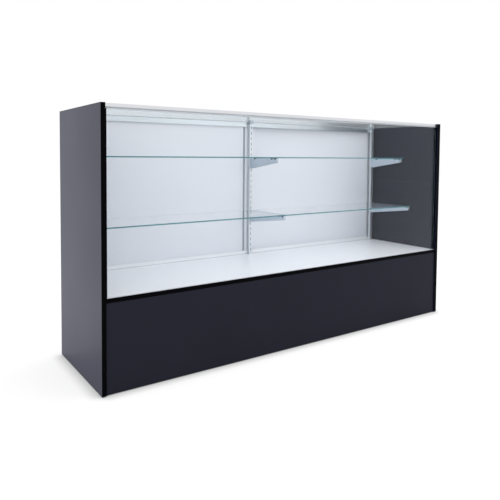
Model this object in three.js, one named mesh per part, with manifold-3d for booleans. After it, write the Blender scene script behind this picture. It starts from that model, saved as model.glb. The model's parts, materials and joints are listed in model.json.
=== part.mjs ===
// Glass display showcase: black board carcass, glass front and top, two rows of glass shelves on
// slotted uprights, and two sliding doors at the back. Millimetres, +Z up, +X to the right seen from
// the front, +Y from front to back. The origin is on the floor under the middle of the case.

import * as THREE from 'three';
import { mergeVertices } from 'three/addons/utils/BufferGeometryUtils.js';
import Module from 'manifold-3d';

const wasm = await Module();
wasm.setup();

// Whole case
const case_width = 1778;
const case_depth = 457.2;
const case_height = 965.2;

// Clearances
const fit_gap = 0.3;
const overrun = 2;

// Boards and their edge bands
const board_thickness = 16;
const band_thickness = 1;

// Base: deck, front panel, bottom board, centre divider and kick board
const deck_height = 325;
const base_front_setback = 6;
const base_rear_setback = 4.6;
const bottom_board_height = 76;
const kick_setback = 20;
const divider_setback = 15;

// Floor glides
const glide_height = 3;
const glide_radius = 7;
const glide_stem_radius = 2.5;
const glide_stem_length = 10;
const glide_inset = 45;

// Front glass, its side channels and the groove in the deck
const front_glass_thickness = 6;
const front_glass_setback = 11.6;
const glass_slack = 0.4;
const channel_wall = 1.6;
const channel_depth = 6.5;
const groove_depth = 5;
const setting_strip_thickness = 1.5;

// Top glass
const top_glass_thickness = 6;
const top_glass_recess = 0.8;

// Top front rail and its gasket
const rail_wall = 1.4;
const rail_ledge_thickness = 1.6;
const rail_front_drop = 3.7;
const rail_rear_drop = 8.2;
const rail_bearing_depth = 14;
const rail_end_block_length = 14;
const gasket_thickness = 2;

// Rear header and bottom door track
const fin_thickness = 2;
const door_channel_width = 11.5;
const header_height = 22.1;
const header_roof_thickness = 2;
const header_bead_height = 7;
const header_bead_depth = 1;
const track_height = 15;
const track_floor_thickness = 2.5;

// Sliding doors
const door_thickness = 5;
const door_overlap = 25;
const door_end_gap = 1;
const door_top_lap = 3.5;
const stile_thickness = 8;
const stile_width = 59.5;
const stile_slot_depth = 8;
const stile_end_gap = 0.5;
const finger_groove_width = 11;
const finger_groove_depth = 2.5;
const finger_groove_inset = 3;
const end_trim_width = 30;
const runner_height = 10;
const runner_floor = 2;
const guide_roof = 1.7;

// Slotted uprights and their caps
const upright_width = 16;
const upright_depth = 13;
const upright_wall = 1.8;
const upright_side_gap = 16;
const slot_width = 3.2;
const slot_height = 13;
const slot_pitch = 25.4;
const first_slot_rise = 15.2;
const slot_end_gap = 5;
const cap_width = 18.8;
const cap_height = 9;
const cap_front_wall = 1.8;
const cap_roof = 1.5;
const cap_screw_radius = 2;
const cap_screw_head_radius = 3.6;
const cap_screw_head_height = 1.6;
const cap_screw_recess_width = 1;
const cap_screw_recess_depth = 1;

// Shelf brackets: depths are those of the shelves, heels are what lies below the lower hook's slot
const bracket_width = 12;
const bracket_sheet = 1.5;
const bracket_tip_height = 18.3;
const bracket_tip_radius = 9;
const bracket_nose_radius = 3;
const bracket_top_rise = 14;
const upper_bracket_heel = 9.6;
const lower_bracket_heel = 11;
const upper_tip_setback = 5;
const lower_tip_setback = 1;
const hook_thickness = 2.4;
const hook_height = 9.2;
const hook_drop = 4;
const hook_tip_depth = 2.5;
const upper_row_share = 0.74;
const lower_row_share = 0.3;

// Cushions in the brackets' top edges: a rear pad and a front pair, joined by a thin strip
const cushion_length = 10;
const cushion_seat_depth = 5;
const cushion_rise = 1.5;
const cushion_side_rise = 1;
const cushion_radius = 1.2;
const cushion_strip_thickness = 0.8;
const cushion_rear_inset = 36;
const cushion_front_inset = 11;
const cushion_pair_pitch = 25;

// Glass shelves
const shelf_thickness = 5;
const upper_shelf_depth = 206;
const lower_shelf_depth = 257;
const shelf_rear_gap = 1;
const shelf_middle_gap = 2;
const shelf_end_gap = 11;

// Roundness of the small turned pieces, and of the corner arcs
const pin_sides = 10;
const glide_sides = 16;
const corner_steps = 4;

// Planes that several pieces share
const half_width = case_width / 2;
const front_plane = -case_depth / 2;
const rear_plane = case_depth / 2;
const inner_face = half_width - board_thickness;
const board_end = inner_face - fit_gap;
const base_front = front_plane + base_front_setback;
const base_rear = rear_plane - base_rear_setback;
const front_panel_back = base_front + board_thickness;
const deck_underside = deck_height - board_thickness;
const bottom_board_underside = bottom_board_height - board_thickness;
const kick_back = base_rear - kick_setback;
const divider_back = base_rear - divider_setback;

// Front glass and rail planes
const front_glass_front = front_plane + front_glass_setback;
const front_glass_back = front_glass_front + front_glass_thickness;
const groove_bottom = deck_height - groove_depth;
const setting_strip_top = groove_bottom + fit_gap + setting_strip_thickness;
const top_glass_top = case_height - top_glass_recess;
const top_glass_bottom = top_glass_top - top_glass_thickness;
const ledge_top = top_glass_bottom - fit_gap;
const ledge_bottom = ledge_top - rail_ledge_thickness;
const front_glass_top = ledge_bottom - glass_slack;
const rail_front = front_glass_front - glass_slack - rail_wall;
const rail_upstand_back = front_glass_front - glass_slack;
const rail_flange_front = front_glass_back + fit_gap + gasket_thickness + fit_gap;
const rail_flange_back = rail_flange_front + rail_wall;
const rail_back = rail_flange_back + rail_bearing_depth;
const rail_flange_bottom = ledge_bottom - rail_rear_drop;

// Header and track planes: the three fins stand one above the other on both
const rear_fin = base_rear - fin_thickness;
const middle_fin = rear_fin - door_channel_width - fin_thickness;
const front_fin = middle_fin - door_channel_width - fin_thickness;
const header_bottom = ledge_top - header_height;
const header_roof_bottom = ledge_top - header_roof_thickness;
const track_bottom = deck_height + fit_gap;
const track_floor = track_bottom + track_floor_thickness;
const track_top = track_bottom + track_height;

// Door places
const inner_door_y = front_fin + fin_thickness + door_channel_width / 2;
const outer_door_y = middle_fin + fin_thickness + door_channel_width / 2;
const runner_bottom = track_floor + fit_gap;
const door_bottom = runner_bottom + runner_floor + fit_gap;
const door_top = header_bottom + door_top_lap;
const door_outer_end = board_end - door_end_gap;
const panel_inner_end = stile_width - stile_slot_depth - door_overlap / 2 + fit_gap;
const panel_outer_end = door_outer_end - end_trim_width + stile_slot_depth - fit_gap;

// Upright places
const upright_back = front_fin - header_bead_depth - fit_gap;
const upright_front = upright_back - upright_depth;
const upright_x = inner_face - upright_side_gap - upright_width / 2;
const cap_top = ledge_top;
const cap_bottom = cap_top - cap_height;
const cap_front = upright_front - fit_gap - cap_front_wall;
const upright_bottom = deck_height + fit_gap;
const upright_top = cap_top - cap_roof - fit_gap;
const first_slot = deck_height + first_slot_rise;
const slot_count = 1 + Math.floor((cap_bottom - slot_end_gap - slot_height - first_slot) / slot_pitch);
const cap_screw_z = (cap_bottom + header_roof_bottom) / 2;

// Shelf rows: each sits in the slot nearest its share of the way up the upright
function rowBracketTop(share) {
  const slot = Math.round(share * (slot_count - 1));
  return first_slot + slot * slot_pitch + bracket_top_rise;
}

const shelf_rows = [
  {
    name: 'upper',
    depth: upper_shelf_depth,
    heel: upper_bracket_heel,
    tip_setback: upper_tip_setback,
    bracket_top: rowBracketTop(upper_row_share),
  },
  {
    name: 'lower',
    depth: lower_shelf_depth,
    heel: lower_bracket_heel,
    tip_setback: lower_tip_setback,
    bracket_top: rowBracketTop(lower_row_share),
  },
];
const upright_places = [
  { name: 'left', x: -upright_x },
  { name: 'center', x: 0 },
  { name: 'right', x: upright_x },
];
const sides = [
  { name: 'left', side: -1 },
  { name: 'right', side: 1 },
];
const glide_rows = [
  { name: 'front', y: front_plane + glide_inset },
  { name: 'rear', y: rear_plane - glide_inset },
];

// Colours and finishes
const finishes = {
  black_board: { color: 0x2b2a30, roughness: 0.45, metalness: 0 },
  black_band: { color: 0x0c0b0e, roughness: 0.4, metalness: 0 },
  white_board: { color: 0xdfe2e8, roughness: 0.45, metalness: 0 },
  door_white: { color: 0xd0d6de, roughness: 0.5, metalness: 0 },
  glass: { color: 0xbfd8d8, roughness: 0.05, metalness: 0, transparent: true, opacity: 0.35 },
  aluminium: { color: 0xc9ccd2, roughness: 0.35, metalness: 0.9 },
  zinc: { color: 0xa0acb9, roughness: 0.4, metalness: 0.8 },
  dark_rubber: { color: 0x2e3238, roughness: 0.8, metalness: 0 },
  clear_vinyl: { color: 0x9fb8cc, roughness: 0.3, metalness: 0 },
  nylon: { color: 0xe6e6e2, roughness: 0.5, metalness: 0 },
};

// A geometry with nothing but positions
function bare(geometry) {
  const plain = geometry.index ? geometry.toNonIndexed() : geometry.clone();
  plain.deleteAttribute('normal');
  plain.deleteAttribute('uv');
  return plain;
}

// A closed geometry as a solid that can be cut and joined
function solidOf(geometry) {
  const welded = mergeVertices(bare(geometry));
  return new wasm.Manifold(new wasm.Mesh({
    numProp: 3,
    vertProperties: welded.attributes.position.array,
    triVerts: Uint32Array.from(welded.index.array),
  }));
}

// The outer surface of a solid as a geometry
function surfaceOf(solid) {
  const mesh = solid.getMesh();
  const geometry = new THREE.BufferGeometry();
  geometry.setAttribute('position', new THREE.BufferAttribute(mesh.vertProperties, 3));
  geometry.setIndex(new THREE.BufferAttribute(mesh.triVerts, 1));
  return geometry;
}

// One body with every tool cut away
function cut(body, tools) {
  let result = solidOf(body);
  for (const tool of tools) {
    result = result.subtract(solidOf(tool));
  }
  return surfaceOf(result);
}

// One body made of parts that run into each other
function join(parts) {
  let result = solidOf(parts[0]);
  for (const part of parts.slice(1)) {
    result = result.add(solidOf(part));
  }
  return surfaceOf(result);
}

// A stretch between two distances from the middle plane, on the given side
function span(side, near, far) {
  return side < 0 ? [-far, -near] : [near, far];
}

function block(x, y, z) {
  const geometry = new THREE.BoxGeometry(x[1] - x[0], y[1] - y[0], z[1] - z[0]);
  return geometry.translate((x[0] + x[1]) / 2, (y[0] + y[1]) / 2, (z[0] + z[1]) / 2);
}

// A round rod along Y or Z: its centre is (x, z) or (x, y)
function rod(axis, centre, ends, radius, steps) {
  const middle = (ends[0] + ends[1]) / 2;
  const geometry = new THREE.CylinderGeometry(radius, radius, ends[1] - ends[0], steps);
  if (axis === 'y') {
    return geometry.translate(centre[0], middle, centre[1]);
  }
  return geometry.rotateX(Math.PI / 2).translate(centre[0], centre[1], middle);
}

// A turned piece standing on the origin along +Z, from its outline of radius and height
function turned(profile, steps) {
  const points = profile.map(([radius, height]) => new THREE.Vector2(radius, height));
  return new THREE.LatheGeometry(points, steps).rotateX(Math.PI / 2);
}

// An outline in the (y, z) plane run along X
function barAlongX(shape, x) {
  const geometry = new THREE.ExtrudeGeometry(shape, {
    depth: x[1] - x[0],
    bevelEnabled: false,
    curveSegments: corner_steps,
  });
  const turn = new THREE.Matrix4().makeBasis(
    new THREE.Vector3(0, 1, 0),
    new THREE.Vector3(0, 0, 1),
    new THREE.Vector3(1, 0, 0),
  );
  return geometry.applyMatrix4(turn).translate(x[0], 0, 0);
}

// An outline in the (x, y) plane run along Z
function barAlongZ(shape, z) {
  const geometry = new THREE.ExtrudeGeometry(shape, { depth: z[1] - z[0], bevelEnabled: false });
  return geometry.translate(0, 0, z[0]);
}

function outline(points) {
  return new THREE.Shape(points.map(([u, v]) => new THREE.Vector2(u, v)));
}

// Side panels: full-height boards, bored under the bottom edge for the glides
function sidePanel(side) {
  const body = block(
    span(side, inner_face, half_width),
    [front_plane + band_thickness, rear_plane - band_thickness],
    [glide_height, case_height - band_thickness],
  );
  const x = side * (inner_face + board_thickness / 2);
  const bore = [glide_height - overrun, glide_height + glide_stem_length + fit_gap];
  return cut(body, glide_rows.map(({ y }) => (
    rod('z', [x, y], bore, glide_stem_radius + fit_gap, pin_sides)
  )));
}

// The edge band up the front, over the top and down the rear of a side panel
function sideEdgeBand(side) {
  const points = [
    [front_plane, glide_height],
    [front_plane, case_height],
    [rear_plane, case_height],
    [rear_plane, glide_height],
    [rear_plane - band_thickness, glide_height],
    [rear_plane - band_thickness, case_height - band_thickness],
    [front_plane + band_thickness, case_height - band_thickness],
    [front_plane + band_thickness, glide_height],
  ];
  return barAlongX(outline(points), span(side, inner_face, half_width));
}

// A floor glide: a disc under the panel's edge with a stem pressed into it
function floorGlide() {
  const profile = [
    [0, 0],
    [glide_radius, 0],
    [glide_radius, glide_height],
    [glide_stem_radius, glide_height],
    [glide_stem_radius, glide_height + glide_stem_length],
    [0, glide_height + glide_stem_length],
  ];
  return turned(profile, glide_sides);
}

function baseFrontPanel() {
  return block(
    [-board_end, board_end],
    [base_front, front_panel_back],
    [glide_height, deck_underside - fit_gap],
  );
}

// The deck, grooved for the front glass
function displayDeck() {
  const body = block(
    [-board_end, board_end],
    [base_front + band_thickness, base_rear],
    [deck_underside, deck_height],
  );
  const groove = block(
    [-board_end - overrun, board_end + overrun],
    [front_glass_front - glass_slack, front_glass_back + glass_slack],
    [groove_bottom, deck_height + overrun],
  );
  return cut(body, [groove]);
}

function deckFrontBand() {
  return block(
    [-board_end, board_end],
    [base_front, base_front + band_thickness],
    [deck_underside, deck_height],
  );
}

function baseBottomBoard() {
  return block(
    [-board_end, board_end],
    [front_panel_back + fit_gap, base_rear],
    [bottom_board_underside, bottom_board_height],
  );
}

function baseCenterDivider() {
  return block(
    [-board_thickness / 2, board_thickness / 2],
    [front_panel_back + fit_gap, divider_back],
    [bottom_board_height + fit_gap, deck_underside - fit_gap],
  );
}

function baseRearKickBoard() {
  return block(
    [-board_end, board_end],
    [kick_back - board_thickness, kick_back],
    [glide_height, bottom_board_underside - fit_gap],
  );
}

// Black channel that holds the end of the front glass
function glassChannel(side) {
  const back = board_end;
  const floor = back - channel_wall;
  const mouth = back - channel_depth;
  const front_lip = front_glass_front - glass_slack;
  const rear_lip = front_glass_back + glass_slack;
  const points = [
    [back, front_lip - channel_wall],
    [back, rear_lip + channel_wall],
    [mouth, rear_lip + channel_wall],
    [mouth, rear_lip],
    [floor, rear_lip],
    [floor, front_lip],
    [mouth, front_lip],
    [mouth, front_lip - channel_wall],
  ];
  const placed = points.map(([x, y]) => [side * x, y]);
  return barAlongZ(outline(placed), [deck_height + fit_gap, rail_flange_bottom - fit_gap]);
}

function frontGlass() {
  const end = board_end - channel_wall - fit_gap;
  return block(
    [-end, end],
    [front_glass_front, front_glass_back],
    [setting_strip_top + fit_gap, front_glass_top],
  );
}

function settingStrip() {
  return block(
    [-board_end, board_end],
    [front_glass_front, front_glass_back],
    [groove_bottom + fit_gap, setting_strip_top],
  );
}

// Top front rail: an upstand in front of the top glass, a ledge under it, and two flanges that
// hold the top edge of the front glass
function topFrontRail() {
  const points = [
    [rail_front, top_glass_top],
    [rail_upstand_back, top_glass_top],
    [rail_upstand_back, ledge_top],
    [rail_back, ledge_top],
    [rail_back, ledge_bottom],
    [rail_flange_back, ledge_bottom],
    [rail_flange_back, rail_flange_bottom],
    [rail_flange_front, rail_flange_bottom],
    [rail_flange_front, ledge_bottom],
    [rail_upstand_back, ledge_bottom],
    [rail_upstand_back, ledge_bottom - rail_front_drop],
    [rail_front, ledge_bottom - rail_front_drop],
  ];
  return barAlongX(outline(points), [-board_end, board_end]);
}

// The block on a side panel that carries an end of the top front rail
function railEndBlock(side) {
  return block(
    span(side, board_end - rail_end_block_length, board_end),
    [rail_flange_back + fit_gap, rail_back],
    [rail_flange_bottom, ledge_bottom - fit_gap],
  );
}

function frontGlassGasket() {
  return block(
    [-board_end, board_end],
    [front_glass_back + fit_gap, rail_flange_front - fit_gap],
    [rail_flange_bottom, ledge_bottom - fit_gap],
  );
}

function topGlass() {
  return block(
    [-board_end, board_end],
    [rail_upstand_back + fit_gap, rear_fin - fit_gap],
    [top_glass_bottom, top_glass_top],
  );
}

// Rear header: a ledge for the top glass with an upstand behind it, over two door channels
function rearHeader() {
  const points = [
    [front_fin - header_bead_depth, header_bottom],
    [front_fin + fin_thickness, header_bottom],
    [front_fin + fin_thickness, header_roof_bottom],
    [middle_fin, header_roof_bottom],
    [middle_fin, header_bottom],
    [middle_fin + fin_thickness, header_bottom],
    [middle_fin + fin_thickness, header_roof_bottom],
    [rear_fin, header_roof_bottom],
    [rear_fin, header_bottom],
    [base_rear, header_bottom],
    [base_rear, top_glass_top],
    [rear_fin, top_glass_top],
    [rear_fin, ledge_top],
    [front_fin, ledge_top],
    [front_fin, header_bottom + header_bead_height],
    [front_fin - header_bead_depth, header_bottom + header_bead_height],
  ];
  const body = barAlongX(outline(points), [-board_end, board_end]);
  const bore = [front_fin - overrun, front_fin + fin_thickness + overrun];
  return cut(body, upright_places.map(({ x }) => (
    rod('y', [x, cap_screw_z], bore, cap_screw_radius + fit_gap, pin_sides)
  )));
}

// Bottom track: a floor on the deck with three fins
function bottomTrack() {
  const points = [
    [front_fin, track_bottom],
    [base_rear, track_bottom],
    [base_rear, track_top],
    [rear_fin, track_top],
    [rear_fin, track_floor],
    [middle_fin + fin_thickness, track_floor],
    [middle_fin + fin_thickness, track_top],
    [middle_fin, track_top],
    [middle_fin, track_floor],
    [front_fin + fin_thickness, track_floor],
    [front_fin + fin_thickness, track_top],
    [front_fin, track_top],
  ];
  return barAlongX(outline(points), [-board_end, board_end]);
}

// Doors: the left one runs in the inner channel and the right one in the outer channel
const doors = [
  { name: 'left', side: -1, y: inner_door_y, groove_faces: [-1, 1] },
  { name: 'right', side: 1, y: outer_door_y, groove_faces: [1] },
];

function doorPanel(door) {
  return block(
    span(door.side, panel_inner_end, panel_outer_end),
    [door.y - door_thickness / 2, door.y + door_thickness / 2],
    [door_bottom, door_top],
  );
}

// The pull stile on the edge in the middle of the case, slotted for the panel and grooved for fingers
function doorStile(door) {
  const tip = -door_overlap / 2;
  const root = tip + stile_width;
  const z = [track_top + stile_end_gap, header_bottom - stile_end_gap];
  const half = stile_thickness / 2;
  const body = block(span(door.side, tip, root), [door.y - half, door.y + half], z);
  const over = [z[0] - overrun, z[1] + overrun];
  const slot_half = door_thickness / 2 + fit_gap;
  const slot = block(
    span(door.side, root - stile_slot_depth, root + overrun),
    [door.y - slot_half, door.y + slot_half],
    over,
  );
  const groove_far = root - stile_slot_depth - finger_groove_inset;
  const grooves = door.groove_faces.map((face) => {
    const floor = door.y + face * (half - finger_groove_depth);
    const open = door.y + face * (half + overrun);
    const y = [Math.min(floor, open), Math.max(floor, open)];
    return block(span(door.side, groove_far - finger_groove_width, groove_far), y, over);
  });
  return cut(body, [slot, ...grooves]);
}

// The plain trim on the outer edge of a door
function doorEndTrim(door) {
  const root = door_outer_end - end_trim_width;
  const half = stile_thickness / 2;
  const slot_half = door_thickness / 2 + fit_gap;
  const z = [track_top + stile_end_gap, header_bottom - stile_end_gap];
  const body = block(span(door.side, root, door_outer_end), [door.y - half, door.y + half], z);
  const slot = block(
    span(door.side, root - overrun, root + stile_slot_depth),
    [door.y - slot_half, door.y + slot_half],
    [z[0] - overrun, z[1] + overrun],
  );
  return cut(body, [slot]);
}

// The strips that slide in the channels, one under the panel and one over it
function doorStrip(door, z, slot_z) {
  const half = door_channel_width / 2 - fit_gap;
  const slot_half = door_thickness / 2 + fit_gap;
  const body = block(
    span(door.side, panel_inner_end, panel_outer_end),
    [door.y - half, door.y + half],
    z,
  );
  const slot = block(
    span(door.side, panel_inner_end - overrun, panel_outer_end + overrun),
    [door.y - slot_half, door.y + slot_half],
    slot_z,
  );
  return cut(body, [slot]);
}

function doorRunner(door) {
  const top = runner_bottom + runner_height;
  return doorStrip(door, [runner_bottom, top], [runner_bottom + runner_floor, top + overrun]);
}

function doorGuide(door) {
  const bottom = header_bottom + stile_end_gap;
  const slot_top = door_top + fit_gap;
  return doorStrip(door, [bottom, slot_top + guide_roof], [bottom - overrun, slot_top]);
}

// Slotted upright: a channel open to the back with a row of slots in its front wall
function upright() {
  const half = upright_width / 2;
  const inner = half - upright_wall;
  const points = [
    [-half, 0],
    [half, 0],
    [half, upright_depth],
    [inner, upright_depth],
    [inner, upright_wall],
    [-inner, upright_wall],
    [-inner, upright_depth],
    [-half, upright_depth],
  ];
  const body = barAlongZ(outline(points), [upright_bottom, upright_top]);
  const wall = [-overrun, upright_wall + overrun];
  const tools = [rod('y', [0, cap_screw_z], wall, cap_screw_radius + fit_gap, pin_sides)];
  for (let index = 0; index < slot_count; index += 1) {
    const low = first_slot + index * slot_pitch;
    tools.push(block([-slot_width / 2, slot_width / 2], wall, [low, low + slot_height]));
  }
  return cut(body, tools);
}

// Cap over the top of an upright, open below and behind
function uprightCap() {
  const half = cap_width / 2;
  const pocket_half = upright_width / 2 + fit_gap;
  const front = cap_front - upright_front;
  const back = front_fin - fit_gap - upright_front;
  const body = block([-half, half], [front, back], [cap_bottom, cap_top]);
  const pocket = block(
    [-pocket_half, pocket_half],
    [-fit_gap, back + overrun],
    [cap_bottom - overrun, cap_top - cap_roof],
  );
  const bore = [front - overrun, overrun];
  return cut(body, [pocket, rod('y', [0, cap_screw_z], bore, cap_screw_radius + fit_gap, pin_sides)]);
}

// The screw that holds a cap and its upright on the header, with a crossed recess in its head
function capScrew() {
  const seat = cap_front - fit_gap - upright_front;
  const tip = front_fin + fin_thickness - fit_gap - upright_front;
  const length = tip - seat;
  const profile = [
    [0, -length],
    [cap_screw_radius, -length],
    [cap_screw_radius, 0],
    [cap_screw_head_radius, 0],
    [cap_screw_head_radius, cap_screw_head_height],
    [0, cap_screw_head_height],
  ];
  const short = [-cap_screw_recess_width / 2, cap_screw_recess_width / 2];
  const long = [-cap_screw_radius, cap_screw_radius];
  const depth = [cap_screw_head_height - cap_screw_recess_depth, cap_screw_head_height + overrun];
  const recess = [block(short, long, depth), block(long, short, depth)];
  return cut(turned(profile, pin_sides), recess).rotateX(Math.PI / 2).translate(0, seat, cap_screw_z);
}

// Shelf bracket, from its top rear corner: a folded tapered channel, open below, with two hooks
function bracketLength(row) {
  return row.depth + shelf_rear_gap - row.tip_setback;
}

function bracketOutline(row) {
  const length = bracketLength(row);
  const root_height = bracket_top_rise + slot_pitch + row.heel;
  const shape = new THREE.Shape();
  shape.moveTo(-fit_gap, 0);
  shape.lineTo(-length + bracket_nose_radius, 0);
  shape.absarc(
    -length + bracket_nose_radius,
    -bracket_nose_radius,
    bracket_nose_radius,
    Math.PI / 2,
    Math.PI,
    false,
  );
  shape.lineTo(-length, -bracket_tip_height + bracket_tip_radius);
  shape.absarc(
    -length + bracket_tip_radius,
    -bracket_tip_height + bracket_tip_radius,
    bracket_tip_radius,
    Math.PI,
    Math.PI * 1.5,
    false,
  );
  shape.lineTo(-fit_gap, -root_height);
  shape.closePath();
  return shape;
}

function cushionPlaces(row) {
  const front = -bracketLength(row) + cushion_front_inset;
  return [-cushion_rear_inset, front + cushion_pair_pitch, front];
}

function shelfBracket(row) {
  const half = bracket_width / 2;
  const length = bracketLength(row);
  const root_height = bracket_top_rise + slot_pitch + row.heel;
  const folded = cut(barAlongX(bracketOutline(row), [-half, half]), [
    block(
      [-half + bracket_sheet, half - bracket_sheet],
      [-length + bracket_sheet, -fit_gap - bracket_sheet],
      [-root_height - overrun, -bracket_sheet],
    ),
  ]);
  const hooks = [];
  for (const slot_bottom of [-bracket_top_rise, -bracket_top_rise - slot_pitch]) {
    const x = [-hook_thickness / 2, hook_thickness / 2];
    const stem_end = upright_wall + fit_gap;
    const low = slot_bottom + fit_gap;
    const high = low + hook_height;
    hooks.push(block(x, [-fit_gap - bracket_sheet, stem_end + hook_tip_depth], [low, high]));
    hooks.push(block(x, [stem_end, stem_end + hook_tip_depth], [slot_bottom - hook_drop, high]));
  }
  const notches = cushionPlaces(row).map((y) => block(
    [-half - overrun, half + overrun],
    [y - cushion_length / 2 - fit_gap, y + cushion_length / 2 + fit_gap],
    [-cushion_seat_depth, overrun],
  ));
  return cut(join([folded, ...hooks]), notches);
}

// A pad in a bracket's notch, with rounded top edges
function cushionPad(y) {
  const half_length = cushion_length / 2;
  const half = bracket_width / 2 + cushion_side_rise;
  const low = -cushion_seat_depth + fit_gap;
  const shape = new THREE.Shape();
  shape.moveTo(y - half_length, low);
  shape.lineTo(y + half_length, low);
  shape.lineTo(y + half_length, cushion_rise - cushion_radius);
  shape.absarc(
    y + half_length - cushion_radius,
    cushion_rise - cushion_radius,
    cushion_radius,
    0,
    Math.PI / 2,
    false,
  );
  shape.absarc(
    y - half_length + cushion_radius,
    cushion_rise - cushion_radius,
    cushion_radius,
    Math.PI / 2,
    Math.PI,
    false,
  );
  shape.closePath();
  return barAlongX(shape, [-half, half]);
}

function bracketCushion(row) {
  const places = cushionPlaces(row);
  const half = bracket_width / 2 - bracket_sheet;
  const ends = [Math.min(...places), Math.max(...places)];
  const strip = block([-half, half], ends, [fit_gap, fit_gap + cushion_strip_thickness]);
  return join([strip, ...places.map(cushionPad)]);
}

function shelf(side, row) {
  return block(
    span(side, shelf_middle_gap / 2, inner_face - shelf_end_gap),
    [-row.depth - shelf_rear_gap, -shelf_rear_gap],
    [0, shelf_thickness],
  );
}

// The finished case
const showcase = new THREE.Group();

function addPiece(parent, name, geometry, finish) {
  const shaded = bare(geometry);
  shaded.computeVertexNormals();
  const piece = new THREE.Mesh(shaded, new THREE.MeshStandardMaterial(finishes[finish]));
  piece.name = name;
  parent.add(piece);
  return piece;
}

for (const { name, side } of sides) {
  addPiece(showcase, `${name}_side_panel`, sidePanel(side), 'black_board');
  addPiece(showcase, `${name}_side_edge_band`, sideEdgeBand(side), 'black_band');
  addPiece(showcase, `${name}_glass_channel`, glassChannel(side), 'black_band');
  addPiece(showcase, `${name}_rail_end_block`, railEndBlock(side), 'dark_rubber');
  for (const row of glide_rows) {
    const glide = addPiece(showcase, `${name}_${row.name}_floor_glide`, floorGlide(), 'nylon');
    glide.position.set(side * (inner_face + board_thickness / 2), row.y, 0);
  }
}
addPiece(showcase, 'base_front_panel', baseFrontPanel(), 'black_board');
addPiece(showcase, 'base_bottom_board', baseBottomBoard(), 'black_board');
addPiece(showcase, 'base_center_divider', baseCenterDivider(), 'black_board');
addPiece(showcase, 'base_rear_kick_board', baseRearKickBoard(), 'black_board');
addPiece(showcase, 'display_deck', displayDeck(), 'white_board');
addPiece(showcase, 'deck_front_edge_band', deckFrontBand(), 'black_band');
addPiece(showcase, 'front_glass', frontGlass(), 'glass');
addPiece(showcase, 'front_glass_setting_strip', settingStrip(), 'dark_rubber');
addPiece(showcase, 'front_glass_gasket', frontGlassGasket(), 'dark_rubber');
addPiece(showcase, 'top_front_rail', topFrontRail(), 'aluminium');
addPiece(showcase, 'top_glass', topGlass(), 'glass');
addPiece(showcase, 'rear_header', rearHeader(), 'aluminium');
addPiece(showcase, 'bottom_door_track', bottomTrack(), 'aluminium');
for (const door of doors) {
  addPiece(showcase, `${door.name}_door_panel`, doorPanel(door), 'door_white');
  addPiece(showcase, `${door.name}_door_pull_stile`, doorStile(door), 'door_white');
  addPiece(showcase, `${door.name}_door_end_trim`, doorEndTrim(door), 'door_white');
  addPiece(showcase, `${door.name}_door_runner`, doorRunner(door), 'nylon');
  addPiece(showcase, `${door.name}_door_guide`, doorGuide(door), 'nylon');
}
for (const { name, x } of upright_places) {
  const post = new THREE.Group();
  post.position.set(x, upright_front, 0);
  showcase.add(post);
  addPiece(post, `${name}_upright`, upright(), 'aluminium');
  addPiece(post, `${name}_upright_cap`, uprightCap(), 'zinc');
  addPiece(post, `${name}_upright_cap_screw`, capScrew(), 'zinc');
  for (const row of shelf_rows) {
    const bracket = addPiece(post, `${row.name}_${name}_bracket`, shelfBracket(row), 'zinc');
    const cushion = addPiece(post, `${row.name}_${name}_bracket_cushion`, bracketCushion(row), 'clear_vinyl');
    bracket.position.z = row.bracket_top;
    cushion.position.z = row.bracket_top;
  }
}
for (const row of shelf_rows) {
  for (const { name, side } of sides) {
    const pane = addPiece(showcase, `${row.name}_${name}_shelf`, shelf(side, row), 'glass');
    pane.position.set(0, upright_front, row.bracket_top + cushion_rise + fit_gap);
  }
}

export default showcase;
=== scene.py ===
import bpy
import bmesh
import json
import math
from mathutils import Matrix, Vector


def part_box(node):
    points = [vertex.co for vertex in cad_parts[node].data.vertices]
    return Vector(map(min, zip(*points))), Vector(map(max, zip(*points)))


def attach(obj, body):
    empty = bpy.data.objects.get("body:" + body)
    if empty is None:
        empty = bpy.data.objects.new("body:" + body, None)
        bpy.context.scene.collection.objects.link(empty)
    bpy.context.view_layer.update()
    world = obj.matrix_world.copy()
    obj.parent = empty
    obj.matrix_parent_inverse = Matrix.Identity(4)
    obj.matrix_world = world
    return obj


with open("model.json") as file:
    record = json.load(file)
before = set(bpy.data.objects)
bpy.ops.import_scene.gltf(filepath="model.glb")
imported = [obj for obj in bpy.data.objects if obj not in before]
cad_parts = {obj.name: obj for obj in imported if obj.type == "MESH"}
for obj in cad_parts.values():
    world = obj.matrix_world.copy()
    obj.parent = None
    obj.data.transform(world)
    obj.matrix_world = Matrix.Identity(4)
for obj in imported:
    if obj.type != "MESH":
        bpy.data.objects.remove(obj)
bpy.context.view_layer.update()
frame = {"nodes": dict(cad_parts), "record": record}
nodes = frame["nodes"]
scene = bpy.context.scene
BODY = "showcase_frame"
PLACES = ("left", "center", "right")


# ---------------------------------------------------------------- node helpers
# The places of a Mix node's first and second input and of its result, for numbers and colours.
MIX_SOCKETS = {"FLOAT": (2, 3, 0), "RGBA": (6, 7, 2)}


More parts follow.
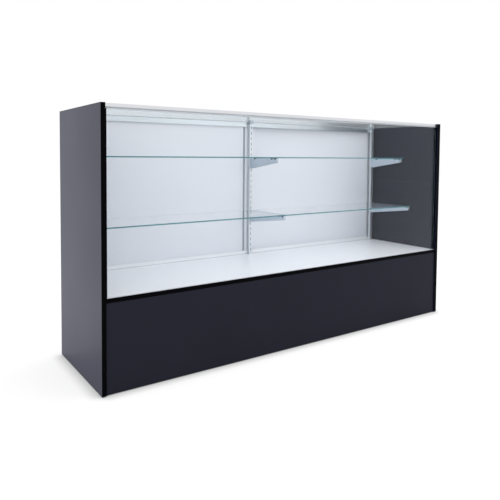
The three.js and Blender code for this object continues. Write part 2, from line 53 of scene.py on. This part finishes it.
class Nodes:
    """The node tree of a material or world, with short calls to add and link its nodes."""

    def __init__(self, owner, output):
        self.owner = owner
        self.owner.use_nodes = True
        self.tree = owner.node_tree
        self.tree.nodes.clear()
        self.output = self.tree.nodes.new(output)

    def add(self, kind, **values):
        """A new node. A value goes to its property of that name, or else to its input."""
        node = self.tree.nodes.new(kind)
        for key, value in values.items():
            if hasattr(node, key):
                setattr(node, key, value)
            else:
                node.inputs[key].default_value = value
        return node

    def link(self, source, target):
        self.tree.links.new(source, target)

    def feed(self, value, target):
        """An output is linked to an input, and a constant is set on it."""
        if isinstance(value, bpy.types.NodeSocket):
            self.link(value, target)
        elif isinstance(value, tuple) and len(value) == 3 and target.type == "RGBA":
            target.default_value = (*value, 1)
        else:
            target.default_value = value

    def blend(self, value, first, second, kind="RGBA"):
        """A colour or number between two, by a value in 0..1."""
        first_place, second_place, result_place = MIX_SOCKETS[kind]
        node = self.add("ShaderNodeMix", data_type=kind)
        self.link(value, node.inputs["Factor"])
        self.feed(first, node.inputs[first_place])
        self.feed(second, node.inputs[second_place])
        return node.outputs[result_place]

    def math(self, operation, *values):
        node = self.add("ShaderNodeMath", operation=operation)
        for value, target in zip(values, node.inputs):
            self.feed(value, target)
        return node.outputs[0]

    def mix_shaders(self, share, first, second):
        node = self.add("ShaderNodeMixShader")
        for value, target in zip((share, first, second), node.inputs):
            self.link(value, target)
        return node.outputs[0]

    def done(self, surface):
        self.link(surface, self.output.inputs["Surface"])
        return self.owner


class Material(Nodes):
    """A new material's nodes, with patterns in object coordinates."""

    def __init__(self, name):
        super().__init__(bpy.data.materials.new(name), "ShaderNodeOutputMaterial")
        self.coords = self.add("ShaderNodeTexCoord").outputs["Object"]

    def stretched(self, scale):
        """Object coordinates with each axis scaled by its own factor."""
        mapping = self.add("ShaderNodeMapping", Scale=scale)
        self.link(self.coords, mapping.inputs["Vector"])
        return mapping.outputs["Vector"]

    def noise(self, scale, detail=2.0, vector=None):
        node = self.add("ShaderNodeTexNoise", Scale=scale, Detail=detail)
        self.link(vector or self.coords, node.inputs["Vector"])
        return node.outputs["Fac"]

    def spread(self, value, low=0.0, high=1.0, start=0.3, end=0.7):
        """A value in start..end mapped to low..high."""
        limits = {"From Min": start, "From Max": end, "To Min": low, "To Max": high}
        node = self.add("ShaderNodeMapRange", **limits)
        self.link(value, node.inputs["Value"])
        return node.outputs["Result"]

    def bump(self, height, strength, distance):
        node = self.add("ShaderNodeBump", Strength=strength, Distance=distance)
        self.link(height, node.inputs["Height"])
        return node.outputs["Normal"]

    def shader(self, **values):
        """The Principled shader: an output is linked to it, and a constant is set on it."""
        node = self.add("ShaderNodeBsdfPrincipled")
        for key, value in values.items():
            self.feed(value, node.inputs[key.replace("_", " ")])
        return node.outputs["BSDF"]


# ---------------------------------------------------------------- materials
CLEAR_TINT, BLUE_TINT = (0.985, 0.990, 0.992), (0.90, 0.965, 1.0)
PALE_EDGE, GREEN_EDGE = (0.26, 0.42, 0.44), (0.07, 0.25, 0.28)
EDGE_VARIATION = 1.2
DOOR_COLOURS = (0.747, 0.780, 0.845), (0.776, 0.804, 0.860)
# The grey of the groove lining paints the shade inside the doors' finger grooves.
GROOVE_SHADE_COLOURS = (0.290, 0.330, 0.390), (0.330, 0.370, 0.430)


def black_melamine(name, low, high, shine, sheen):
    """Black board with a finely pebbled face and a faint blue sheen."""
    t = Material(name)
    tone = t.spread(t.noise(scale=3.2, detail=4.0))
    slow = t.spread(t.noise(scale=2.3, detail=3.0), 0.30, 0.34)
    fine = t.spread(t.noise(scale=260), -0.02, 0.02)
    pebble = t.noise(scale=820)
    return t.done(t.shader(
        Base_Color=t.blend(tone, low, high), Roughness=t.math("ADD", slow, fine),
        Specular_IOR_Level=shine, Specular_Tint=(0.70, 0.77, 1.0),
        Sheen_Weight=sheen, Sheen_Roughness=0.35, Sheen_Tint=(0.35, 0.38, 1.0),
        Normal=t.bump(pebble, strength=0.05, distance=0.0002)))


def black_band():
    t = Material("black_edge_band")
    grain = t.noise(scale=1.0, detail=3.0, vector=t.stretched((500, 500, 30)))
    colour = t.blend(t.spread(grain), (0.0010, 0.0010, 0.0016), (0.0018, 0.0018, 0.0028))
    return t.done(t.shader(
        Base_Color=colour, Roughness=t.spread(grain, 0.30, 0.42), Specular_IOR_Level=0.02,
        Normal=t.bump(grain, strength=0.08, distance=0.0001)))


def white_melamine():
    t = Material("white_melamine")
    tone = t.spread(t.noise(scale=2.0, detail=4.0))
    return t.done(t.shader(
        Base_Color=t.blend(tone, (0.745, 0.765, 0.805), (0.770, 0.785, 0.825)),
        Roughness=t.spread(t.noise(scale=3.0, detail=3.0), 0.28, 0.33),
        Specular_IOR_Level=0.45,
        Normal=t.bump(t.noise(scale=760), strength=0.01, distance=0.00005)))


def door_board():
    t = Material("door_board")
    tone = t.spread(t.noise(scale=1.7, detail=4.0))
    return t.done(t.shader(
        Base_Color=t.blend(tone, *DOOR_COLOURS),
        Roughness=t.spread(t.noise(scale=4.0, detail=3.0), 0.36, 0.46),
        Specular_IOR_Level=0.4,
        Normal=t.bump(t.noise(scale=540, detail=3.0), strength=0.08, distance=0.0002)))


def extruded_plastic(name, colours, smooth, rough, shine):
    """Plastic trim with faint lines along its height."""
    t = Material(name)
    lines = t.noise(scale=1.0, vector=t.stretched((900, 900, 4)))
    return t.done(t.shader(
        Base_Color=t.blend(t.spread(lines), *colours), Roughness=t.spread(lines, smooth, rough),
        Specular_IOR_Level=shine, Normal=t.bump(lines, strength=0.05, distance=0.0001)))


def satin_aluminium(name, along, low, high, rough, metal=1.0):
    """Drawn and anodised metal: long faint lines along one axis and a slow change of tone."""
    t = Material(name)
    across, lengthwise = 420, 0.3
    stretch = tuple(lengthwise if axis == along else across for axis in "xyz")
    lines = t.noise(scale=1.0, detail=1.0, vector=t.stretched(stretch))
    patch = t.noise(scale=2.5)
    tone = t.math("MULTIPLY", t.spread(lines, 0.85, 1.0), t.spread(patch, 0.6, 1.0))
    return t.done(t.shader(
        Base_Color=t.blend(tone, low, high), Metallic=metal,
        Roughness=t.spread(patch, rough * 0.95, rough * 1.05),
        Normal=t.bump(patch, strength=0.02, distance=0.0002)))


def zinc_steel():
    t = Material("zinc_plate")
    patch = t.noise(scale=70, detail=3.0)
    fine = t.noise(scale=600)
    return t.done(t.shader(
        Base_Color=t.blend(t.spread(patch), (0.53, 0.61, 0.70), (0.62, 0.69, 0.77)),
        Metallic=0.6, Roughness=t.spread(patch, 0.30, 0.42),
        Normal=t.bump(fine, strength=0.06, distance=0.0001)))


def pane_glass(name, thin_axis, ior, edge, tint):
    """Glass: tinted across the thin axis, greener and less clear at the cut edges.

    A ray that lights a surface goes straight through, so that no pane casts a dark shadow.
    """
    t = Material(name)
    axes = t.add("ShaderNodeSeparateXYZ")
    t.link(t.add("ShaderNodeTexCoord").outputs["Normal"], axes.inputs[0])
    facing = t.math("ABSOLUTE", axes.outputs["XYZ".index(thin_axis)])
    rim = t.spread(facing, low=1.0, high=0.0, start=0.35, end=0.65)
    wave = t.spread(t.noise(scale=60))
    edge_colour = t.blend(wave, edge, tuple(c * EDGE_VARIATION for c in edge))
    glass = t.shader(
        Base_Color=t.blend(rim, tint, edge_colour), IOR=ior, Specular_Tint=(0.76, 0.88, 1.0),
        Roughness=t.math("MULTIPLY", rim, 0.15),
        Transmission_Weight=t.spread(rim, low=1.0, high=0.25, start=0.0, end=1.0))
    clear = t.add("ShaderNodeBsdfTransparent", Color=(*CLEAR_TINT, 1))
    path = t.add("ShaderNodeLightPath").outputs
    lighting = t.math("MAXIMUM", path["Is Shadow Ray"], path["Is Diffuse Ray"])
    return t.done(t.mix_shaders(lighting, glass, clear.outputs[0]))


def clear_vinyl():
    t = Material("clear_vinyl")
    cloud = t.spread(t.noise(scale=180))
    return t.done(t.shader(
        Base_Color=t.blend(cloud, (0.004, 0.014, 0.036), (0.012, 0.032, 0.070)),
        Roughness=t.spread(cloud, 0.10, 0.18), IOR=1.5, Transmission_Weight=0.15))


def dark_rubber():
    t = Material("dark_rubber")
    speck = t.noise(scale=480, detail=3.0)
    return t.done(t.shader(
        Base_Color=t.blend(t.spread(speck), (0.020, 0.021, 0.026), (0.034, 0.035, 0.042)),
        Roughness=t.spread(speck, 0.6, 0.75),
        Normal=t.bump(speck, strength=0.15, distance=0.0001)))


def grey_vinyl(name, low, high):
    t = Material(name)
    speck = t.noise(scale=350)
    return t.done(t.shader(
        Base_Color=t.blend(t.spread(speck), low, high), Roughness=t.spread(speck, 0.40, 0.52),
        Normal=t.bump(speck, strength=0.05, distance=0.0001)))


def white_nylon():
    t = Material("white_nylon")
    speck = t.noise(scale=300, detail=3.0)
    return t.done(t.shader(
        Base_Color=t.blend(t.spread(speck), (0.70, 0.71, 0.70), (0.78, 0.79, 0.78)),
        Roughness=t.spread(speck, 0.36, 0.48), Subsurface_Weight=0.05,
        Normal=t.bump(speck, strength=0.06, distance=0.0001)))


BOARD = black_melamine("black_melamine", (0.0052, 0.0053, 0.0144), (0.0068, 0.0069, 0.0172),
                       shine=0.25, sheen=0.20)
BASE_BOARD = black_melamine("black_melamine_base", (0.0178, 0.0182, 0.0268),
                            (0.0192, 0.0196, 0.0292), shine=0.04, sheen=0.06)
BAND = black_band()
WHITE = white_melamine()
DOOR = door_board()
TRIM = extruded_plastic("door_plastic", DOOR_COLOURS, smooth=0.28, rough=0.38, shine=0.5)
# Painted shade: a darker grey that lines the finger grooves.
GROOVE_SHADE = extruded_plastic("groove_painted_shade", GROOVE_SHADE_COLOURS, smooth=0.34, rough=0.44, shine=0.4)
RAIL = satin_aluminium("satin_rail", "x", (0.69, 0.71, 0.74), (0.75, 0.76, 0.79), rough=0.30)
HEADER = satin_aluminium("satin_header", "x", (0.680, 0.726, 0.766), (0.718, 0.764, 0.804),
                         rough=0.29)
CAP = satin_aluminium("satin_cap", "z", (0.32, 0.37, 0.42), (0.38, 0.43, 0.48),
                      rough=0.30, metal=0.9)
TRACK = satin_aluminium("satin_track", "x", (0.86, 0.89, 0.92), (0.90, 0.92, 0.95),
                        rough=0.32, metal=0.15)
POST = satin_aluminium("satin_post", "z", (0.66, 0.71, 0.76), (0.76, 0.80, 0.84),
                       rough=0.30, metal=0.75)
ZINC = zinc_steel()
SHELF_GLASS = pane_glass("shelf_glass", "Z", ior=1.45, edge=GREEN_EDGE, tint=CLEAR_TINT)
TOP_GLASS = pane_glass("top_glass", "Z", ior=1.25, edge=PALE_EDGE, tint=BLUE_TINT)
FRONT_GLASS = pane_glass("front_glass", "Y", ior=1.23, edge=PALE_EDGE, tint=CLEAR_TINT)
VINYL = clear_vinyl()
# Dark rubber, which also paints the shade inside the uprights' channels behind their slots.
RUBBER_AND_SHADE = dark_rubber()
GREY = grey_vinyl("grey_vinyl", (0.64, 0.66, 0.71), (0.70, 0.72, 0.77))
# Grey of the top glass's seal bead; it also paints the shade along the foot of the bottom track.
SEAL_AND_SHADE = grey_vinyl("seal_vinyl_and_shade", (0.27, 0.295, 0.335), (0.31, 0.335, 0.37))
NYLON = white_nylon()

finish_of_slot = {
    "black_board": BOARD, "black_band": BAND, "white_board": WHITE, "glass": SHELF_GLASS,
    "door_panel": DOOR, "door_trim": TRIM, "aluminium": RAIL, "zinc": ZINC,
    "clear_vinyl": VINYL, "dark_rubber": RUBBER_AND_SHADE, "grey_vinyl": GREY, "nylon": NYLON,
}
finish_of_node = {
    "top_glass": TOP_GLASS, "front_glass": FRONT_GLASS, "rear_header": HEADER,
    "bottom_door_track": TRACK, "base_front_panel": BASE_BOARD,
}
for place in PLACES:
    finish_of_node[f"{place}_upright"] = POST
    finish_of_node[f"{place}_upright_cap"] = CAP
for subpart in frame["record"]["subparts"]:
    name = subpart["node"]
    data = nodes[name].data
    data.materials.clear()
    data.materials.append(finish_of_node.get(name) or finish_of_slot[subpart["material_slot"]])


# ---------------------------------------------------------------- softened edges
SOFTENED_ANGLE = math.radians(50)
# Each row gives the width of a bevel in metres, its segments and its nodes.
SOFTENED = (
    (0.0006, 1, [n for n in nodes if n.endswith("_shelf") or n in ("top_glass", "front_glass")]),
    (0.0005, 2, [f"{place}_upright_cap" for place in PLACES]),
    (0.0005, 2, ["left_door_pull_stile", "left_door_end_trim",
                 "right_door_pull_stile", "right_door_end_trim"]),
    (0.0004, 2, ["bottom_door_track"]),
    (0.0008, 2, [n for n in nodes if n.endswith("_bracket")]),
    (0.0003, 2, ["base_front_panel", "left_side_edge_band", "right_side_edge_band",
                 "deck_front_edge_band"]),
)
for width, segments, names in SOFTENED:
    for name in names:
        bevel = nodes[name].modifiers.new("soft_edges", "BEVEL")
        bevel.width = width
        bevel.segments = segments
        bevel.limit_method = "ANGLE"
        bevel.angle_limit = SOFTENED_ANGLE


# ---------------------------------------------------------------- small pieces
# Lengths in metres. A GAP or LIFT keeps a piece just clear of the face that it lies on.
GROOVE_FROM_ROOT, GROOVE_WIDTH, GROOVE_DEPTH = 0.011, 0.011, 0.0025
LINER, LINER_GAP, LINER_INSET, LINER_END = 0.0004, 0.00002, 0.0002, 0.0005
SEAL_AND_SHADE_GAP, SEAL_DEPTH, SEAL_HEIGHT = 0.0002, 0.0007, 0.0013
# The strip at the foot of the bottom track is painted shade.
TRACK_SHADE_DEPTH, TRACK_SHADE_HEIGHT, TRACK_SHADE_LIFT = 0.0007, 0.0009, 0.00005
UPRIGHT_WALL, STRIP, STRIP_GAP, STRIP_END = 0.0018, 0.0004, 0.00005, 0.0005
COVER_RADIUS, COVER_SIDES, COVER_LIFT = 0.0085, 24, 0.00005
COVER_RIM, COVER_TOP, COVER_BEVEL = 0.0006, 0.0011, 0.0008
RECESS_RADIUS, RECESS_FLOOR_RADIUS, RECESS_FLOOR = 0.0030, 0.0022, 0.0007
COVER_FROM_END, COVER_FROM_MIDDLE, PANEL_COVER_HEIGHT = 0.034, 0.13, 0.20
UP, DOWN, BACKWARD = (0, 0, 1), (0, 0, -1), (0, 1, 0)


def piece(name, bm, finish, body):
    """A finished mesh that rides on a body, with the finish that it is given."""
    bmesh.ops.recalc_face_normals(bm, faces=bm.faces)
    mesh = bpy.data.meshes.new(name)
    bm.to_mesh(mesh)
    bm.free()
    mesh.materials.append(finish)
    made = bpy.data.objects.new(name, mesh)
    scene.collection.objects.link(made)
    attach(made, body)


def skin(bm, rings):
    """A closed skin over rings of points, from the first ring to the last."""
    rows = [[bm.verts.new(point) for point in ring] for ring in rings]
    for first, second in zip(rows, rows[1:]):
        for i in range(len(first)):
            j = (i + 1) % len(first)
            bm.faces.new((first[i], first[j], second[j], second[i]))
    bm.faces.new(rows[0][::-1])
    bm.faces.new(rows[-1])


def prism(bm, outline, low, high):
    """A closed bar with an outline in X and Y, between two heights."""
    skin(bm, [[(x, y, z) for x, y in outline] for z in (low, high)])


def bar(bm, low, high):
    """A closed block between two corners, as part of a larger mesh."""
    corners = [(low[0], low[1]), (high[0], low[1]), (high[0], high[1]), (low[0], high[1])]
    prism(bm, corners, low[2], high[2])


def groove_shade_liner(name, node, face, body):
    """Painted shade in a finger groove: a grey lining on the groove's floor and both its sides.

    face is -1 for a groove in the stile's front and 1 for one in its back.
    """
    low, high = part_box(node)
    middle = (low[1] + high[1]) / 2
    half = (high[1] - low[1]) / 2
    side = -1 if body == "left_door" else 1
    tip = low[0] if side > 0 else high[0]
    far = tip + side * (high[0] - low[0] - GROOVE_FROM_ROOT)
    near = far - side * GROOVE_WIDTH
    mouth = middle + face * (half - LINER_INSET)
    back = middle + face * (half - GROOVE_DEPTH) + face * LINER_GAP
    front = back + face * LINER
    outer_a, outer_b = near + side * LINER_GAP, far - side * LINER_GAP
    inner_a, inner_b = outer_a + side * LINER, outer_b - side * LINER
    outline = [(outer_a, mouth), (outer_a, back), (outer_b, back), (outer_b, mouth),
               (inner_b, mouth), (inner_b, front), (inner_a, front), (inner_a, mouth)]
    bm = bmesh.new()
    prism(bm, outline, low[2] + LINER_END, high[2] - LINER_END)
    piece(name, bm, GROOVE_SHADE, body)


def spans_between(kind, start, end):
    """The stretches of X from start to end that the uprights or their caps leave free."""
    stops = [start]
    for place in PLACES:
        low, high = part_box(f"{place}_{kind}")
        stops += [low[0], high[0]]
    stops.append(end)
    return zip(stops[::2], stops[1::2])


def top_glass_seal():
    """The bead in front of the header's ledge, under the top glass and between the caps."""
    header_low, header_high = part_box("rear_header")
    glass_low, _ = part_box("top_glass")
    y, z = header_low[1], glass_low[2]
    bm = bmesh.new()
    for start, end in spans_between("upright_cap", header_low[0], header_high[0]):
        bar(bm, (start + SEAL_AND_SHADE_GAP, y - SEAL_DEPTH, z - SEAL_HEIGHT),
            (end - SEAL_AND_SHADE_GAP, y, z - SEAL_AND_SHADE_GAP))
    piece("top_glass_seal", bm, SEAL_AND_SHADE, BODY)


def track_painted_shade():
    """Painted shade: a thin dark strip between the foot of the bottom track and the deck."""
    track_low, track_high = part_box("bottom_door_track")
    _, deck_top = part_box("display_deck")
    y, z = track_low[1], deck_top[2]
    bm = bmesh.new()
    for start, end in spans_between("upright", track_low[0], track_high[0]):
        bar(bm, (start + SEAL_AND_SHADE_GAP, y - TRACK_SHADE_DEPTH, z + TRACK_SHADE_LIFT),
            (end - SEAL_AND_SHADE_GAP, y - TRACK_SHADE_LIFT, z + TRACK_SHADE_HEIGHT))
    piece("track_painted_shade", bm, SEAL_AND_SHADE, BODY)


def upright_shade_liner(place):
    """Painted shade: a dark strip folded into an upright's open channel, behind its row of slots.
    """
    low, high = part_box(f"{place}_upright")
    cap_low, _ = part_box(f"{place}_upright_cap")
    left, right = low[0] + UPRIGHT_WALL + STRIP_GAP, high[0] - UPRIGHT_WALL - STRIP_GAP
    front, back = low[1] + UPRIGHT_WALL + STRIP_GAP, high[1] - STRIP_GAP
    outline = [(left, front), (left, back), (right, back), (right, front),
               (right - STRIP, front), (right - STRIP, back - STRIP),
               (left + STRIP, back - STRIP), (left + STRIP, front)]
    bm = bmesh.new()
    prism(bm, outline, low[2] + STRIP_END, cap_low[2] - STRIP_END)
    piece(f"{place}_upright_liner", bm, RUBBER_AND_SHADE, BODY)


def cam_cover(name, centre, normal, finish):
    """A round cover over a cam fitting, with a bevelled rim and a recess in its middle."""
    profile = ((COVER_RADIUS, 0.0), (COVER_RADIUS, COVER_RIM),
               (COVER_RADIUS - COVER_BEVEL, COVER_TOP), (RECESS_RADIUS, COVER_TOP),
               (RECESS_FLOOR_RADIUS, RECESS_FLOOR))
    angles = [2 * math.pi * i / COVER_SIDES for i in range(COVER_SIDES)]
    bm = bmesh.new()
    skin(bm, [[(radius * math.cos(angle), radius * math.sin(angle), height)
               for angle in angles] for radius, height in profile])
    turn = Vector(UP).rotation_difference(Vector(normal)).to_matrix().to_4x4()
    bmesh.ops.transform(bm, matrix=Matrix.Translation(centre) @ turn, verts=bm.verts)
    piece(name, bm, finish, BODY)


groove_shade_liner("left_groove_shade_liner_front", "left_door_pull_stile", -1, "left_door")
groove_shade_liner("left_groove_shade_liner_rear", "left_door_pull_stile", 1, "left_door")
groove_shade_liner("right_groove_shade_liner_rear", "right_door_pull_stile", 1, "right_door")
top_glass_seal()
track_painted_shade()
for place in PLACES:
    upright_shade_liner(place)

deck_low, deck_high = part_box("display_deck")
_, panel_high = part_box("base_front_panel")
_, bottom_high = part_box("base_bottom_board")
for side, x in (("left", deck_low[0] + COVER_FROM_END), ("right", deck_high[0] - COVER_FROM_END)):
    for row, y in (("front", -COVER_FROM_MIDDLE), ("rear", COVER_FROM_MIDDLE)):
        cam_cover(f"{side}_{row}_deck_cam_cover", (x, y, deck_low[2] - COVER_LIFT), DOWN,
                  NYLON)
        cam_cover(f"{side}_{row}_floor_cam_cover", (x, y, bottom_high[2] + COVER_LIFT), UP,
                  BAND)
    cam_cover(f"{side}_panel_cam_cover", (x, panel_high[1] + COVER_LIFT, PANEL_COVER_HEIGHT),
              BACKWARD, BAND)


# ---------------------------------------------------------------- camera, light and stage
CAMERA_PLACE = (-1.48094, -1.86992, 0.79224)
CAMERA_YAW, CAMERA_PITCH, CAMERA_ROLL = 0.59696, 0.04675, -0.0065
WORLD_ON_SURFACES, WORLD_SEEN = 0.95, 1.0
FLOOR_REACH = 14
FLOOR_GLOW, FLOOR_GLOW_SHARE = 1.22, 0.6
NARROW_SHADOW, WIDE_SHADOW, SHADOW_SAMPLES = 0.05, 0.8, 8


def aimed(position, forward, roll=0.0):
    """A matrix that looks along forward from position, turned by roll about that line."""
    forward = Vector(forward).normalized()
    right = forward.cross(Vector(UP)).normalized()
    down = forward.cross(right)
    turned_right = right * math.cos(roll) + down * math.sin(roll)
    turned_up = right * math.sin(roll) - down * math.cos(roll)
    axes = Matrix((turned_right, turned_up, -forward)).transposed()
    return Matrix.Translation(position) @ axes.to_4x4()


camera_data = bpy.data.cameras.new("camera")
camera_data.sensor_fit = "HORIZONTAL"
camera_data.sensor_width = 36.0
camera_data.lens = 37.953
camera_data.shift_x = 0.0283
camera_data.shift_y = -0.1368
camera_data.clip_start = 0.05
camera_data.clip_end = 60
camera = bpy.data.objects.new("camera", camera_data)
scene.collection.objects.link(camera)
level = math.cos(CAMERA_PITCH)
camera.matrix_world = aimed(
    CAMERA_PLACE,
    (math.sin(CAMERA_YAW) * level, math.cos(CAMERA_YAW) * level, -math.sin(CAMERA_PITCH)),
    CAMERA_ROLL)
scene.camera = camera


def area(name, position, target, size, power):
    """A wide soft lamp aimed at a target, and not seen in reflections."""
    data = bpy.data.lights.new(name, "AREA")
    data.shape = "RECTANGLE"
    data.size, data.size_y = size
    data.energy = power
    lamp = bpy.data.objects.new(name, data)
    scene.collection.objects.link(lamp)
    lamp.matrix_world = aimed(position, Vector(target) - Vector(position))
    lamp.visible_glossy = False


area("overhead", (0.6, -0.3, 3.2), target=(0.2, 0, 0.3), size=(3.2, 2.4), power=44.5)
area("front_fill", (1.7, -2.6, 1.6), target=(0.65, 0, 0.4), size=(1.4, 0.9), power=6.5)


def seen(t):
    """A value of 1 for camera, glossy and transmission rays, and 0 for a surface's light."""
    path = t.add("ShaderNodeLightPath").outputs
    value = path["Is Camera Ray"]
    for kind in ("Is Glossy Ray", "Is Transmission Ray"):
        value = t.math("MAXIMUM", value, path[kind])
    return value


scene.world = bpy.data.worlds.new("studio")
studio = Nodes(scene.world, "ShaderNodeOutputWorld")
sky = studio.add("ShaderNodeBackground", Color=(1, 1, 1, 1))
studio.link(studio.blend(seen(studio), WORLD_ON_SURFACES, WORLD_SEEN, "FLOAT"),
            sky.inputs["Strength"])
studio.done(sky.outputs[0])


def floor_material():
    """Pale paper, and for the rays of seen() mostly a white glow with a soft shadow.

    The shadow is narrow in the camera's view and wide in glossy reflections.
    """
    t = Material("studio_floor")
    tone = t.spread(t.noise(scale=1.2, detail=3.0))
    paper = t.shader(Base_Color=t.blend(tone, (0.78, 0.78, 0.78), (0.80, 0.80, 0.80)),
                     Roughness=0.9, Specular_IOR_Level=0.0)
    glow = t.add("ShaderNodeEmission")
    narrow, wide = (
        t.add("ShaderNodeAmbientOcclusion", samples=SHADOW_SAMPLES, Distance=reach).outputs["AO"]
        for reach in (NARROW_SHADOW, WIDE_SHADOW))
    glossy = t.add("ShaderNodeLightPath").outputs["Is Glossy Ray"]
    shadow = t.blend(glossy, narrow, wide, "FLOAT")
    t.link(t.math("MULTIPLY", shadow, FLOOR_GLOW), glow.inputs["Strength"])
    share = t.math("MULTIPLY", seen(t), FLOOR_GLOW_SHARE)
    return t.done(t.mix_shaders(share, paper, glow.outputs[0]))


floor_mesh = bpy.data.meshes.new("floor")
corners = [(x * FLOOR_REACH, y * FLOOR_REACH, 0) for x, y in ((-1, -1), (1, -1), (1, 1), (-1, 1))]
floor_mesh.from_pydata(corners, [], [(0, 1, 2, 3)])
floor = bpy.data.objects.new("floor", floor_mesh)
scene.collection.objects.link(floor)
floor_mesh.materials.append(floor_material())

scene.view_settings.view_transform = "Standard"
